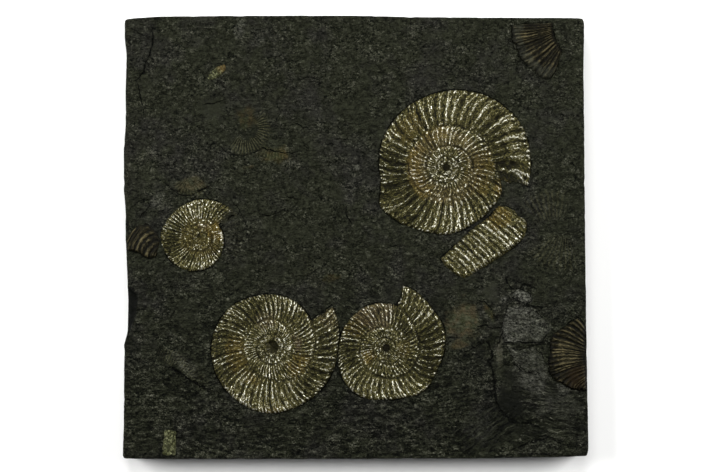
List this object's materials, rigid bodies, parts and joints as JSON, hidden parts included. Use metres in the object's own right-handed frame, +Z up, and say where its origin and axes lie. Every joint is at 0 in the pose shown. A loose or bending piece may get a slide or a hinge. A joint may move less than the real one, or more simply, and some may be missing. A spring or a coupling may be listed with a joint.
{
  "type": "dactylioceras ammonite cluster",
  "caption": "Squarish slab of black shale lying flat, with coiled, ribbed, pyritised ammonite shells and loose pieces of whorl in its top face.",
  "frame": {"origin": "centre of the slab's underside, on the surface that it lies on", "axes": "+Z up out of the fossil face, +X to the slab's right edge and +Y to its far edge, seen from above"},
  "size_m": [0.2004, 0.191, 0.0172],
  "materials": {
    "shale": "matte, with a faint leathery sheen",
    "pyrite": "metallic, crystalline",
    "pyrite_crust": "rough metallic crust",
    "brown_shell": "satin"
  },
  "bodies": {
    "root": {"shale_slab": "shale", "ammonite_large": "pyrite", "ammonite_lower_left": "pyrite", "ammonite_lower_middle": "pyrite", "ammonite_left_small": "pyrite", "whorl_fragment": "pyrite", "ribbed_fragment_top_right": "brown_shell", "ribbed_fragment_left_edge": "brown_shell", "ribbed_fragment_right_edge": "brown_shell", "pyrite_tab": "pyrite_crust", "shell_sliver": "pyrite_crust"}
  },
  "joints": []
}
